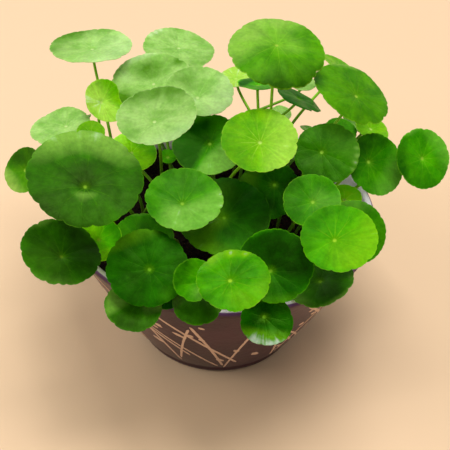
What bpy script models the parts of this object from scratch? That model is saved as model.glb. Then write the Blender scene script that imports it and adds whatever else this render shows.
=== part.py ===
"""Potted pennywort: a turned bowl pot, its soil, and round leaves that each stand on one thin stem.

Units are metres and +Z is up. The origin is the middle of the pot's flat base, on the surface that it
stands on. -Y is the front and +X is the right side.
Each leaf is one grown piece: a round blade, fixed at its middle on a stem that rises from a hole in the soil.
"""
import math
import random

import bpy
import bmesh
import numpy as np
from mathutils import Matrix, Vector

MM = 0.001
GAP = 0.3 * MM  # space kept between neighbouring pieces
MERGE = 0.01 * MM  # points nearer than this are one point
SHARP_EDGE = 40  # degrees between two faces from which their edge is shaded sharp
SHARP_LEAF_EDGE = 60

# The pot, a turned bowl with an open flare
POT_HEIGHT = 68 * MM
POT_RIM_RADIUS = 70 * MM
POT_WAIST_RADIUS = 37 * MM  # where the wall leaves the rounded foot
POT_WAIST_HEIGHT = 4 * MM
POT_BASE_RADIUS = 34 * MM
POT_BULGE = 0.9  # 1 is a straight cone, less swells the wall outwards
POT_WALL = 3.6 * MM
POT_FLOOR = 6 * MM
POT_INNER_ROUND = 3 * MM  # the slope between the inner floor and the wall
POT_FOOT_ROUND = (2 * MM, 1 * MM)  # how far out and up the base's edge is eased
POT_WALL_STEPS = 5
POT_TURN_STEPS = 44

# The soil
SOIL_HEIGHT = 58 * MM  # its level at the pot's wall
SOIL_CROWN = 3 * MM  # how much higher its middle is
SOIL_BUMP = 0.7 * MM
SOIL_WAVES = (210, 170, 330, 290)  # how close its bumps lie, in radians a metre
SOIL_FOOT_HEIGHT = 4 * MM  # the sloped edge of its underside, above the pot's floor
SOIL_FOOT_IN = 5 * MM
SOIL_TURN_STEPS = 28
SOIL_RINGS = 4
HOLE_SIDES = 6
HOLE_RISE = 10 * MM  # how far the cutter of a stem's hole stands out of the soil

# The stems
STEM_RADIUS = 0.75 * MM
STEM_DEPTH = 6 * MM  # the buried length
STEM_STEPS = 5
STEM_RISE = 0.5  # how long a stem keeps going straight up, as a share of its span
STEM_ARRIVE = 0.2  # how long it runs square to its blade, as a share of its span
ROOT_PITCH = 5 * MM  # the roots stand at least this far apart
ROOT_LIMIT = 52 * MM  # the furthest root from the pot's axis
ROOT_PULL = 0.6  # a root lies at this share of its blade's distance from the axis

# The blades
BLADE_THICKNESS = 0.7 * MM
BLADE_INNER = 0.55  # radius of the inner disc, as a share of the blade's
BLADE_LOBES = 12  # on a large blade; small blades have fewer, down to the least
LEAST_LOBES = 7
LOBE_WIDTH = 2.4 * MM  # blade diameter per lobe
NOTCH = 0.05  # depth of the notches between the lobes, as a share of the radius
SEED = 7  # for the turn and the gentle waves of each blade

# The space that a stem keeps along its way from root to blade
PATH_SAMPLES = 70  # points along a stem where its clearance is tested
BLADE_CLEAR = 1.9 * MM  # from a stem's centre line to the middle of another blade
STEM_CLEAR = 2.7 * MM  # between the centre lines of two stems
POT_CLEAR = 1.6 * MM  # from a stem's centre line to the pot's wall
OWN_BLADE_REACH = 3 * MM  # a stem's top is this near to the middle of its own blade

# Each leaf: x, y and z of the blade's middle and its diameter in millimetres, how far the blade
# leans from level and the heading it leans to, in degrees counted anticlockwise from +X, and its
# cup, the height of its edge above its middle as a percentage of its radius
LEAVES = {
    "leaf_back_01": (-63, 55.5, 114.5, 38, 7, 110, 4),
    "leaf_back_02": (-23.5, 69, 107, 34, 7, -35, 5),
    "leaf_back_03": (-34, 40, 106, 38, 17, -125, 6),
    "leaf_back_04": (-12, 28, 110, 31, 13, -75, 9),
    "leaf_back_05": (-28, -9, 121, 34, 14, -125, 10),
    "leaf_back_06": (20.5, 11, 145, 41, 12, -70, -12),
    "leaf_back_07": (53.5, 7, 128, 35, 23, -20, -10),
    "leaf_back_08": (4, 52, 104, 17, 6, 180, 3),
    "leaf_back_09": (52, 52, 112, 20, 30, 20, 2),
    "leaf_back_10": (33, 33, 106, 22, 27, 30, -4),
    "leaf_back_11": (13.7, 29, 115.5, 18, 16, 95, 2),
    "leaf_back_12": (36, 59, 98, 12, 7, -60, 3),
    "leaf_left_01": (-53.2, 22.5, 107.2, 20.2, 43, -45, 8),
    "leaf_left_02": (-72, 12, 99, 27, 11, -165, 6),
    "leaf_left_03": (-57.5, 3, 104, 12.5, 13, -75, 5),
    "leaf_left_04": (-53.5, -47, 118, 46.5, 18, -65, -6),
    "leaf_left_05": (-85, -10, 91.7, 20.3, 49, -132, 4),
    "leaf_left_06": (-63.5, -56, 85.5, 33, 19, -35, 3),
    "leaf_left_07": (-50, -42, 81, 20, 25, -100, 6),
    "leaf_left_08": (-28, -65, 87.5, 33, 29, -85, -3),
    "leaf_left_09": (-33, -75, 75, 23, 17, -60, 5),
    "leaf_mid_01": (-39, -4, 99, 21, 17, -60, 6),
    "leaf_mid_02": (-25, 15, 84, 8, 17, -85, 12),
    "leaf_mid_03": (-15, -39, 101, 32, 17, -80, 8),
    "leaf_mid_04": (-32, -35, 77, 26, 11, -85, 7),
    "leaf_mid_05": (-7, 9, 95, 32, 22, -85, 8),
    "leaf_mid_06": (14.5, -21, 120, 31.6, 21, -90, 4),
    "leaf_mid_07": (1.5, -34, 90, 38.5, 20, -95, 3),
    "leaf_mid_08": (20, -17, 92, 27, 28, -95, 4),
    "leaf_right_01": (43, -14.5, 110.5, 27.5, 34, -100, 3),
    "leaf_right_02": (64, -12, 104, 27, 46, -55, 6),
    "leaf_right_03": (84, -9, 106, 26, 50, -60, 2),
    "leaf_right_04": (37, -35, 101, 24, 27, -100, 6),
    "leaf_right_05": (52, -19, 90.5, 15, 19, -110, 5),
    "leaf_right_06": (46.7, -61, 103, 30.5, 21, -100, 5),
    "leaf_right_07": (54.5, -42, 91, 27, 45, -85, 3),
    "leaf_right_08": (66, 27, 96, 17, 23, -20, 4),
    "leaf_right_09": (52, 24, 96, 15, 15, -55, 4),
    "leaf_front_01": (22.5, -64, 90, 30.8, 33, -95, 9),
    "leaf_front_02": (6, -84, 100.5, 28.3, 17, -100, -4),
    "leaf_front_03": (-9, -73, 89, 17, 48, -90, 6),
    "leaf_front_04": (-7.5, -73, 77.5, 20.3, 20, -100, -6),
    "leaf_front_05": (-20, -66, 73, 11, 25, -85, 4),
    "leaf_front_06": (20, -80, 75.6, 21, 33, -90, -8),
    "leaf_front_07": (42, -52, 73, 28.5, 16, -170, -4),
    "leaf_rear_01": (-72, 42, 79, 22, 35, 150, 4),
    "leaf_rear_02": (-43, 61, 79, 30, 35, 125, 6),
    "leaf_rear_03": (-20, 76, 84, 30, 35, 105, -3),
    "leaf_rear_04": (12, 57, 73, 26, 20, 85, 5),
    "leaf_rear_05": (45, 50, 76, 20, 30, 55, 3),
    "leaf_rear_06": (64, 40, 86, 22, 30, 35, 6),
    "leaf_rear_07": (-24, 44, 87, 25, 15, 110, 5),
    "leaf_rear_08": (12, 36, 86, 25, 15, 80, 4),
    "leaf_rear_09": (72, 26, 80, 25, 35, 15, -3),
    "leaf_rear_10": (25.7, 44, 90.8, 10, 12, -60, 3),
}

# Millimetres: the spot near which a stem rises that crosses an open gap between the blades
STEM_FEET = {
    "leaf_back_01": (-54, 8),
    "leaf_back_05": (-32, 8),
    "leaf_back_06": (21, 10),
    "leaf_back_08": (20, 19),
    "leaf_back_09": (10, 27),
    "leaf_back_10": (-6, 24),
    "leaf_back_11": (18, 15),
    "leaf_back_12": (0, 40),
    "leaf_left_01": (-51, 0),
}


def clear_scene():
    for item in list(bpy.data.objects):
        bpy.data.objects.remove(item, do_unlink=True)


def new_collection(name):
    group = bpy.data.collections.new(name)
    bpy.context.scene.collection.children.link(group)
    return group


def new_material(name, colour, roughness):
    material = bpy.data.materials.new(name)
    material.use_nodes = True
    shader = material.node_tree.nodes["Principled BSDF"]
    shader.inputs["Base Color"].default_value = (*colour, 1.0)
    shader.inputs["Roughness"].default_value = roughness
    shader.inputs["Metallic"].default_value = 0.0
    return material


def new_object(name, mesh, group, material=None):
    item = bpy.data.objects.new(name, mesh)
    group.objects.link(item)
    if material:
        mesh.materials.clear()
        mesh.materials.append(material)
    return item


def evaluated_mesh(item):
    """The object's mesh with its modifiers, or its curve's skin, as a mesh of its own."""
    graph = bpy.context.evaluated_depsgraph_get()
    mesh = bpy.data.meshes.new_from_object(item.evaluated_get(graph))
    shape = bmesh.new()
    shape.from_mesh(mesh)
    bmesh.ops.remove_doubles(shape, verts=shape.verts, dist=MERGE)
    shape.to_mesh(mesh)
    shape.free()
    return mesh


def add_boolean(item, other, operation):
    modifier = item.modifiers.new(operation.lower(), "BOOLEAN")
    modifier.operation = operation
    modifier.object = other
    modifier.solver = "EXACT"
    return modifier


def turned(name, profile, steps, group, material=None):
    """A solid of revolution; the profile starts and ends on the axis and runs down its outer side."""
    mesh = bpy.data.meshes.new(name)
    shape = bmesh.new()
    points = [shape.verts.new((radius, 0, height)) for radius, height in profile]
    for first, second in zip(points, points[1:]):
        shape.edges.new((first, second))
    shape.to_mesh(mesh)
    shape.free()
    item = new_object(name, mesh, group, material)
    screw = item.modifiers.new("turn", "SCREW")
    screw.steps = steps
    screw.render_steps = steps
    screw.use_merge_vertices = True
    screw.merge_threshold = MERGE
    return item


def shade(item, degrees):
    item.data.shade_smooth()
    item.data.set_sharp_from_angle(angle=math.radians(degrees))


# The pot

def pot_outside(height):
    """Radius of the pot's outer face at a height above the rounded foot."""
    share = (height - POT_WAIST_HEIGHT) / (POT_HEIGHT - POT_WAIST_HEIGHT)
    return POT_WAIST_RADIUS + (POT_RIM_RADIUS - POT_WAIST_RADIUS) * share ** POT_BULGE


def pot_inside(height):
    """Radius of the pot's inner face, one wall in from the outer one."""
    return pot_outside(height) - POT_WALL


def pot_profile():
    lip = POT_WALL / 2
    top = POT_HEIGHT - lip
    heights = np.linspace(POT_FLOOR + POT_INNER_ROUND, top, POT_WALL_STEPS)
    points = [(0.0, POT_FLOOR), (pot_inside(heights[0]) - POT_INNER_ROUND, POT_FLOOR)]
    points += [(pot_inside(height), height) for height in heights]
    centre = pot_outside(top) - lip
    for degrees in (135, 90, 45):
        turn = math.radians(degrees)
        points.append((centre + lip * math.cos(turn), top + lip * math.sin(turn)))
    outer = np.linspace(top, POT_WAIST_HEIGHT, POT_WALL_STEPS)
    points += [(pot_outside(height), height) for height in outer]
    out, up = POT_FOOT_ROUND
    points += [(POT_BASE_RADIUS + out, up), (POT_BASE_RADIUS, 0.0), (0.0, 0.0)]
    return points


def make_pot(group):
    material = new_material("pot_glaze", (0.09, 0.045, 0.045), 0.35)
    pot = turned("pot", pot_profile(), POT_TURN_STEPS, group, material)
    shade(pot, SHARP_EDGE)


# The soil

def soil_level(x, y):
    """Height of the soil's surface: a low crown with shallow bumps."""
    share = min(1.0, math.hypot(x, y) / pot_inside(SOIL_HEIGHT))
    crown = SOIL_CROWN * (1 - share ** 2)
    first, second, third, fourth = SOIL_WAVES
    bumps = math.sin(x * first + 1.3) * math.cos(y * second + 0.4)
    bumps += 0.6 * math.sin(x * third - y * fourth)
    return SOIL_HEIGHT + crown + SOIL_BUMP * bumps * (1 - share ** 4)


def make_soil(group, cutters, roots):
    """The soil fills the pot one gap clear of it, with one plain hole for each stem."""
    edge = pot_inside(SOIL_HEIGHT) - GAP
    rings = [(edge * step / SOIL_RINGS, SOIL_HEIGHT) for step in range(SOIL_RINGS + 1)]
    bottom = POT_FLOOR + GAP
    low = POT_FLOOR + SOIL_FOOT_HEIGHT
    wall = [(pot_inside(height) - GAP, height) for height in (SOIL_HEIGHT / 2, low)]
    foot = (pot_inside(low) - SOIL_FOOT_IN, bottom)
    body = turned("soil_body", rings + wall + [foot, (0.0, bottom)], SOIL_TURN_STEPS, cutters)
    mesh = evaluated_mesh(body)
    for vertex in mesh.vertices:
        x, y, z = vertex.co
        if z > SOIL_HEIGHT - MM:
            vertex.co.z = soil_level(x, y)
    bpy.data.objects.remove(body)
    body = new_object("soil_body", mesh, cutters)

    holes = bmesh.new()
    depth = STEM_DEPTH + GAP
    radius = (STEM_RADIUS + GAP) / math.cos(math.pi / HOLE_SIDES)
    for root in roots:
        place = Matrix.Translation(root + Vector((0, 0, (HOLE_RISE - depth) / 2)))
        bmesh.ops.create_cone(holes, cap_ends=True, segments=HOLE_SIDES, radius1=radius,
                              radius2=radius, depth=depth + HOLE_RISE, matrix=place)
    hole_mesh = bpy.data.meshes.new("root_holes")
    holes.to_mesh(hole_mesh)
    holes.free()
    cutter = new_object("root_holes", hole_mesh, cutters)
    add_boolean(body, cutter, "DIFFERENCE")
    soil = new_object("soil", evaluated_mesh(body), group,
                      new_material("soil_peat", (0.02, 0.012, 0.008), 0.95))
    bpy.data.objects.remove(body)
    cutter.hide_render = True
    cutter.display_type = "WIRE"
    shade(soil, SHARP_EDGE)


# The leaves

class Leaf:
    """Where one blade lies, how it leans, and the gentle wave of its surface."""

    def __init__(self, index, name, numbers):
        x, y, z, diameter, lean, heading, cup = numbers
        self.name = name
        self.middle = Vector((x, y, z)) * MM
        self.radius = diameter * MM / 2
        lean = math.radians(lean)
        heading = math.radians(heading)
        flat = math.sin(lean)
        self.normal = Vector((flat * math.cos(heading), flat * math.sin(heading), math.cos(lean)))
        draw = random.Random(SEED + index)
        self.spin = draw.uniform(0, 2 * math.pi)
        self.cup = cup / 100
        self.waves = [(2, draw.uniform(0.01, 0.04), draw.uniform(0, 2 * math.pi)),
                      (3, draw.uniform(0.01, 0.03), draw.uniform(0, 2 * math.pi)),
                      (5, draw.uniform(0.0, 0.02), draw.uniform(0, 2 * math.pi))]
        self.lobes = max(LEAST_LOBES, min(BLADE_LOBES, round(diameter * MM / LOBE_WIDTH)))
        self.turn = Vector((0, 0, 1)).rotation_difference(self.normal).to_matrix()

    def height(self, x, y):
        """Height of the blade above its own flat plane, zero at the middle."""
        share = math.hypot(x, y) / self.radius
        angle = math.atan2(y, x)
        wave = sum(size * math.cos(count * angle + start) for count, size, start in self.waves)
        return self.radius * (self.cup * share ** 2 + wave * share ** 2)

    def outline(self, angle):
        """Radius of the scalloped edge at an angle."""
        lobe = abs(math.cos(self.lobes * angle / 2))
        return self.radius * (1 - NOTCH * (1 - lobe) ** 2)

    def matrix(self):
        return Matrix.Translation(self.middle) @ self.turn.to_4x4()


def stem_points(leaf, root, count=STEM_STEPS):
    """The stem's centre line: straight up out of the soil, then on a curve that meets the blade squarely."""
    span = (leaf.middle - root).length
    first = root
    second = root + Vector((0, 0, STEM_RISE * span))
    third = leaf.middle - leaf.normal * (STEM_ARRIVE * span)
    last = leaf.middle
    points = []
    for step in range(count + 1):
        t = step / count
        s = 1 - t
        points.append(first * s ** 3 + second * 3 * s * s * t + third * 3 * s * t * t + last * t ** 3)
    return points


def root_spots():
    """A triangular grid of places on the soil where a stem may rise."""
    rows = int(ROOT_LIMIT / ROOT_PITCH) + 2
    spots = []
    for row in range(-rows, rows + 1):
        for column in range(-rows, rows + 1):
            x = (column + 0.5 * (row % 2)) * ROOT_PITCH
            y = row * ROOT_PITCH * math.sqrt(0.75)
            if math.hypot(x, y) < ROOT_LIMIT:
                spots.append(Vector((x, y, soil_level(x, y))))
    return spots


def misses_blades(path, own, leaves):
    for leaf in leaves:
        local = (path - np.array(leaf.middle)) @ np.array(leaf.turn)
        reach = np.hypot(local[:, 0], local[:, 1])
        near = reach < leaf.radius + BLADE_CLEAR
        if leaf is own:
            near &= reach > OWN_BLADE_REACH
        for x, y, z in local[near]:
            if abs(z - leaf.height(x, y)) < BLADE_CLEAR:
                return False
    return True


def misses_stems(path, others):
    for other in others:
        gaps = np.linalg.norm(path[:, None, :] - other[None, :, :], axis=2)
        if gaps.min() < STEM_CLEAR:
            return False
    return True


def misses_pot(path):
    for x, y, z in path:
        reach = math.hypot(x, y)
        if z < POT_HEIGHT + POT_CLEAR and pot_inside(min(z, POT_HEIGHT)) - POT_CLEAR < reach:
            if reach < pot_outside(max(min(z, POT_HEIGHT), POT_WAIST_HEIGHT)) + POT_CLEAR:
                return False
    return True


def choose_roots(leaves):
    """Give each stem, lowest first, the nearest spot from which it clears all blades, stems and the pot."""
    free = root_spots()
    paths = []
    roots = {}
    for leaf in sorted(leaves, key=lambda item: item.middle.z):
        wish = leaf.middle * ROOT_PULL
        if leaf.name in STEM_FEET:
            wish = Vector(STEM_FEET[leaf.name]) * MM
        for spot in sorted(free, key=lambda place: math.hypot(place.x - wish.x, place.y - wish.y)):
            path = np.array([tuple(point) for point in stem_points(leaf, spot, PATH_SAMPLES)])
            if misses_pot(path) and misses_blades(path, leaf, leaves) and misses_stems(path, paths):
                break
        else:
            raise ValueError("no free root for " + leaf.name)
        free.remove(spot)
        paths.append(path)
        roots[leaf.name] = spot
    return roots


def make_blade(leaf, group):
    """A round disc with notched lobes, waved by the leaf's formula and given its thickness."""
    shape = bmesh.new()
    bmesh.ops.create_circle(shape, cap_ends=True, cap_tris=True, segments=leaf.lobes,
                            radius=leaf.radius * BLADE_INNER)
    edge = [item for item in shape.edges if item.is_boundary]
    grown = bmesh.ops.extrude_edge_only(shape, edges=edge)["geom"]
    rim = [item for item in grown if isinstance(item, bmesh.types.BMEdge)]
    bmesh.ops.subdivide_edges(shape, edges=[item for item in rim if item.is_boundary], cuts=2)
    for vertex in shape.verts:
        if vertex.is_boundary:
            angle = math.atan2(vertex.co.y, vertex.co.x)
            reach = leaf.outline(angle - math.pi / leaf.lobes)
            vertex.co.x = reach * math.cos(angle)
            vertex.co.y = reach * math.sin(angle)
    bmesh.ops.triangulate(shape, faces=shape.faces)
    bmesh.ops.rotate(shape, verts=shape.verts, cent=(0, 0, 0), matrix=Matrix.Rotation(leaf.spin, 3, "Z"))
    for vertex in shape.verts:
        vertex.co.z = leaf.height(vertex.co.x, vertex.co.y)
    bmesh.ops.transform(shape, matrix=leaf.matrix(), verts=shape.verts)
    mesh = bpy.data.meshes.new("blade")
    shape.to_mesh(mesh)
    shape.free()
    blade = new_object("blade", mesh, group)
    wall = blade.modifiers.new("thickness", "SOLIDIFY")
    wall.thickness = BLADE_THICKNESS
    wall.offset = 0
    return blade


def make_stem(leaf, root, group):
    """A thin round stem along the centre line, with its foot straight down in the soil."""
    curve = bpy.data.curves.new("stem", "CURVE")
    curve.dimensions = "3D"
    curve.bevel_depth = STEM_RADIUS
    curve.bevel_resolution = 1
    curve.use_fill_caps = True
    points = [root - Vector((0, 0, STEM_DEPTH))] + stem_points(leaf, root)
    line = curve.splines.new("POLY")
    line.points.add(len(points) - 1)
    for place, point in zip(line.points, points):
        place.co = (*point, 1)
    stem = bpy.data.objects.new("stem", curve)
    group.objects.link(stem)
    mesh = evaluated_mesh(stem)
    bpy.data.objects.remove(stem)
    return new_object("stem", mesh, group)


def make_leaf(leaf, root, group, cutters):
    """Blade and stem joined into one solid."""
    blade = make_blade(leaf, cutters)
    stem = make_stem(leaf, root, cutters)
    add_boolean(blade, stem, "UNION")
    mesh = evaluated_mesh(blade)
    bpy.data.objects.remove(blade)
    bpy.data.objects.remove(stem)
    bright = 0.25 + 0.1 * math.sin(leaf.spin)
    material = new_material(leaf.name, (0.05, bright, 0.02), 0.4)
    item = new_object(leaf.name, mesh, group, material)
    shade(item, SHARP_LEAF_EDGE)


def main():
    clear_scene()
    group = new_collection("potted_pennywort")
    cutters = new_collection("cutters")
    leaves = [Leaf(index, *entry) for index, entry in enumerate(LEAVES.items())]
    roots = choose_roots(leaves)
    make_pot(group)
    make_soil(group, cutters, roots.values())
    for leaf in leaves:
        make_leaf(leaf, roots[leaf.name], group, cutters)


main()
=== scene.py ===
# %% [markdown]
# # A potted pennywort
# Pennywort is a small marsh plant. Every leaf is a round blade that stands on one thin stem, fixed under
# the middle of the blade like an umbrella on its handle. This one grows in a flared, glazed bowl. The
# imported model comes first: it holds each piece's true place, and every new piece goes where it says.

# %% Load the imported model
import cmath
import math
import random

import bpy
import bmesh
from mathutils import Matrix, Vector, noise


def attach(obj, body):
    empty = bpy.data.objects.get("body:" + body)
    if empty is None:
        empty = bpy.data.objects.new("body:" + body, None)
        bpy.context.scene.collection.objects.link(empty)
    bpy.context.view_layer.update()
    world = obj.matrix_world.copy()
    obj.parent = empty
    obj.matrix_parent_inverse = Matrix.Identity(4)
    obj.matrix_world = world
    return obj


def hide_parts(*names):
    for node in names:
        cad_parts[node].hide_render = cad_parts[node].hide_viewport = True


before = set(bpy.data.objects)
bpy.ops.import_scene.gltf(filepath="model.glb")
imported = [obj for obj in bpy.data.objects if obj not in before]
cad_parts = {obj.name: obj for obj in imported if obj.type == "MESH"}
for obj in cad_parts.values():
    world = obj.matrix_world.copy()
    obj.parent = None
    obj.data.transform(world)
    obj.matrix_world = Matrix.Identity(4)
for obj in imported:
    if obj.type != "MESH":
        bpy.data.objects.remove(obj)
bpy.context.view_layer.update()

scene = bpy.context.scene
print("nodes:", len(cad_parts))

# %% [markdown]
# ## Units and the camera
# Blender works in metres, and the plant is easier to think of in millimetres, so one name turns one into
# the other. The camera looks down at the bowl from the front, as one looks at a plant on a table. A long
# lens keeps the bowl's rim and foot in true proportion, and a slight roll is part of the view.

# %% Camera
MM = 0.001
VIEW_PIXELS = 450
FOCAL_PIXELS = 1196
SENSOR_WIDTH = 36
LOOK_DOWN = math.radians(39)
ROLL = math.radians(2.5)
CAMERA_PLACE = Vector((2, -421, 399)) * MM

camera = bpy.data.objects.new("camera", bpy.data.cameras.new("camera"))
scene.collection.objects.link(camera)
camera.data.sensor_width = SENSOR_WIDTH
camera.data.lens = FOCAL_PIXELS / VIEW_PIXELS * SENSOR_WIDTH
camera.data.clip_start = 10 * MM
look = Matrix.Rotation(math.pi / 2 - LOOK_DOWN, 4, "X") @ Matrix.Rotation(ROLL, 4, "Z")
camera.matrix_world = Matrix.Translation(CAMERA_PLACE) @ look
scene.camera = camera
print("lens:", round(camera.data.lens, 1), "mm")

# %% [markdown]
# ## Light
# The light is plain and soft, as in a small studio: a large lamp overhead, a weak one behind and one at the
# front left that keeps the shadows open. Large lamps give soft shadows, and a pale world fills the rest. A
# loop builds the lamps from one table, because they differ only in their figures.

# %% Lamps
LAMP_AIM = Vector((0, 0, 0.07))
WORLD_STRENGTH = 0.33
# Each lamp: its place and its size in metres, its power in watts and its colour
LAMPS = {
    "lamp_above": ((0.25, 0.12, 2.2), (1.3, 1.1), 31, (1.0, 0.99, 0.97)),
    "lamp_behind": ((-1.0, 1.5, 1.2), (1.0, 0.8), 4, (1.0, 0.99, 0.95)),
    "lamp_front": ((-1.3, -0.5, 1.2), (0.9, 0.7), 8, (1.0, 0.98, 0.95)),
}

for name, (place, size, power, colour) in LAMPS.items():
    light = bpy.data.lights.new(name, "AREA")
    light.shape = "RECTANGLE"
    light.size, light.size_y = size
    light.energy = power
    light.color = colour
    lamp = bpy.data.objects.new(name, light)
    scene.collection.objects.link(lamp)
    place = Vector(place)
    towards = (LAMP_AIM - place).to_track_quat("-Z", "Y").to_matrix().to_4x4()
    lamp.matrix_world = Matrix.Translation(place) @ towards

world = bpy.data.worlds.new("studio")
scene.world = world
world.use_nodes = True
backdrop = world.node_tree.nodes["Background"]
backdrop.inputs["Color"].default_value = (1.0, 0.97, 0.94, 1)
backdrop.inputs["Strength"].default_value = WORLD_STRENGTH
scene.view_settings.view_transform = "Standard"
print("lamps:", len(LAMPS))

# %% [markdown]
# ## A small kit for materials
# Every finish here is worked out by nodes from where a point lies on its piece. Colours are given as they
# look on a screen and turned into the linear values that Blender uses.

# %% Material kit
def screen(red, green, blue):
    """A screen colour, 0 to 255, as Blender's linear colour."""
    values = [value / 255 for value in (red, green, blue)]
    return tuple(v / 12.92 if v < 0.04 else ((v + 0.055) / 1.055) ** 2.4 for v in values) + (1.0,)


class Finish:
    """One material and the shorthand that fills its node tree."""

    def __init__(self, name, roughness, **sockets):
        self.material = bpy.data.materials.new(name)
        self.material.use_nodes = True
        self.nodes = self.material.node_tree.nodes
        self.shader = self.nodes["Principled BSDF"]
        self.shader.inputs["Roughness"].default_value = roughness
        for socket, value in sockets.items():
            self.shader.inputs[socket.replace("_", " ")].default_value = value

    def feed(self, socket, value):
        if isinstance(value, bpy.types.NodeSocket):
            self.material.node_tree.links.new(value, socket)
        elif value is not None:
            socket.default_value = value

    def math(self, operation, first, second=None, third=None):
        node = self.nodes.new("ShaderNodeMath")
        node.operation = operation
        for socket, value in zip(node.inputs, (first, second, third)):
            self.feed(socket, value)
        return node.outputs[0]

    def vector(self, operation, first, second=None, scale=None):
        node = self.nodes.new("ShaderNodeVectorMath")
        node.operation = operation
        self.feed(node.inputs[0], first)
        self.feed(node.inputs[1], second)
        if scale is not None:
            self.feed(node.inputs["Scale"], scale)
        return node.outputs["Value"] if operation == "LENGTH" else node.outputs[0]

    def blend(self, share, first, second, mode="MIX"):
        node = self.nodes.new("ShaderNodeMix")
        node.data_type = "RGBA"
        node.blend_type = mode
        node.clamp_factor = True
        for name, value in (("Factor_Float", share), ("A_Color", first), ("B_Color", second)):
            socket = next(item for item in node.inputs if item.identifier == name)
            self.feed(socket, value)
        return next(item for item in node.outputs if item.identifier == "Result_Color")

    def band(self, value, low, high, start=0.0, end=1.0):
        node = self.nodes.new("ShaderNodeMapRange")
        node.interpolation_type = "SMOOTHSTEP"
        for socket, number in zip(node.inputs, (value, low, high, start, end)):
            self.feed(socket, number)
        return node.outputs[0]

    def attribute(self, name, kind="Vector"):
        node = self.nodes.new("ShaderNodeAttribute")
        node.attribute_name = name
        return node.outputs[kind]

    def place(self, kind="Object"):
        return self.nodes.new("ShaderNodeTexCoord").outputs[kind]

    def parts(self, vector):
        node = self.nodes.new("ShaderNodeSeparateXYZ")
        self.feed(node.inputs[0], vector)
        return node.outputs

    def noise(self, size, detail=2.0, where=None, roughness=0.5):
        """Soft random blotches, each about `size` metres across, from 0 to 1."""
        node = self.nodes.new("ShaderNodeTexNoise")
        self.feed(node.inputs["Vector"], where or self.place())
        node.inputs["Scale"].default_value = 1 / size
        node.inputs["Detail"].default_value = detail
        node.inputs["Roughness"].default_value = roughness
        return node.outputs["Fac"]

    def cells(self, size, feature="DISTANCE_TO_EDGE"):
        node = self.nodes.new("ShaderNodeTexVoronoi")
        node.feature = feature
        self.feed(node.inputs["Vector"], self.place())
        node.inputs["Scale"].default_value = 1 / size
        return node.outputs["Distance"]

    def paint(self, colour):
        self.feed(self.shader.inputs["Base Color"], colour)

    def bump(self, height, distance, strength=1.0):
        node = self.nodes.new("ShaderNodeBump")
        node.inputs["Strength"].default_value = strength
        node.inputs["Distance"].default_value = distance
        self.feed(node.inputs["Height"], height)
        self.feed(self.shader.inputs["Normal"], node.outputs[0])


print("a screen white is", screen(255, 255, 255))

# %% [markdown]
# ## The stage
# A plain pale floor in one warm tone, so that nothing draws the eye from the plant. A faint noise in the
# colour keeps it from looking like a cut-out.

# %% Floor
FLOOR_SIZE = 6.0

floor_shape = bmesh.new()
bmesh.ops.create_grid(floor_shape, x_segments=1, y_segments=1, size=FLOOR_SIZE / 2)
floor_mesh = bpy.data.meshes.new("floor")
floor_shape.to_mesh(floor_mesh)
floor_shape.free()
floor = bpy.data.objects.new("floor", floor_mesh)
scene.collection.objects.link(floor)
matt = Finish("floor_matt", 0.7)
matt.paint(matt.blend(matt.noise(0.4), screen(250, 214, 174), screen(253, 219, 180)))
floor_mesh.materials.append(matt.material)
print("floor:", FLOOR_SIZE, "m")

# %% [markdown]
# ## Shared helpers
# A finished piece is one mesh object at the origin, with its place in its points. `finish_piece` turns a
# bmesh into such an object with its finishes, shades it smoothly except at true edges, hangs it under the
# root body, hides the solids it stands for and counts its triangles.

# %% Piece helper
made_triangles = {}


def finish_piece(name, shape, materials, replaces=(), sharp=45):
    mesh = bpy.data.meshes.new(name)
    shape.to_mesh(mesh)
    shape.free()
    for material in materials:
        mesh.materials.append(material)
    mesh.shade_smooth()
    mesh.set_sharp_from_angle(angle=math.radians(sharp))
    piece = bpy.data.objects.new(name, mesh)
    scene.collection.objects.link(piece)
    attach(piece, "root")
    if replaces:
        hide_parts(*replaces)
    mesh.calc_loop_triangles()
    made_triangles[name] = len(mesh.loop_triangles)
    return piece


def new_verts(grown):
    return [item for item in grown["geom"] if isinstance(item, bmesh.types.BMVert)]


print("helpers ready")

# %% [markdown]
# ## The pot
# The bowl was thrown on a wheel, so one profile turned round the axis gives all of it: the flat base, the
# eased foot, the slightly swelling wall, the round lip and the inside. The wall's radius follows the same
# formula as the solid model, so the fine bowl fits the plain one. It could be stacked from rings too, but a
# spun profile keeps the whole section in one list that reads from the inside out.

# %% Pot sizes
POT_HEIGHT = 68 * MM
POT_RIM_RADIUS = 70 * MM
POT_WAIST_RADIUS = 37 * MM
POT_WAIST_HEIGHT = 4 * MM
POT_BASE_RADIUS = 34 * MM
POT_BULGE = 0.9
POT_WALL = 3.6 * MM
POT_FLOOR = 6 * MM
POT_MIDDLE = 20 * MM
FLOOR_EASE = (3 * MM, 4 * MM)  # how high and how wide the floor curves up into the wall
LIP_SWEEP = (0.93, 0.07)  # where the round of the lip starts and ends, as shares of a half turn
POT_TURN_STEPS = 160
WALL_STEPS = 28
LIP_STEPS = 10
FOOT_STEPS = 6


def pot_outside(height):
    share = max(0.0, (height - POT_WAIST_HEIGHT) / (POT_HEIGHT - POT_WAIST_HEIGHT))
    return POT_WAIST_RADIUS + (POT_RIM_RADIUS - POT_WAIST_RADIUS) * share ** POT_BULGE


def pot_inside(height):
    return pot_outside(height) - POT_WALL


def steps(first, last, count):
    return [first + (last - first) * step / (count - 1) for step in range(count)]


print("rim:", round(2 * pot_outside(POT_HEIGHT) / MM), "mm across")

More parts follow.
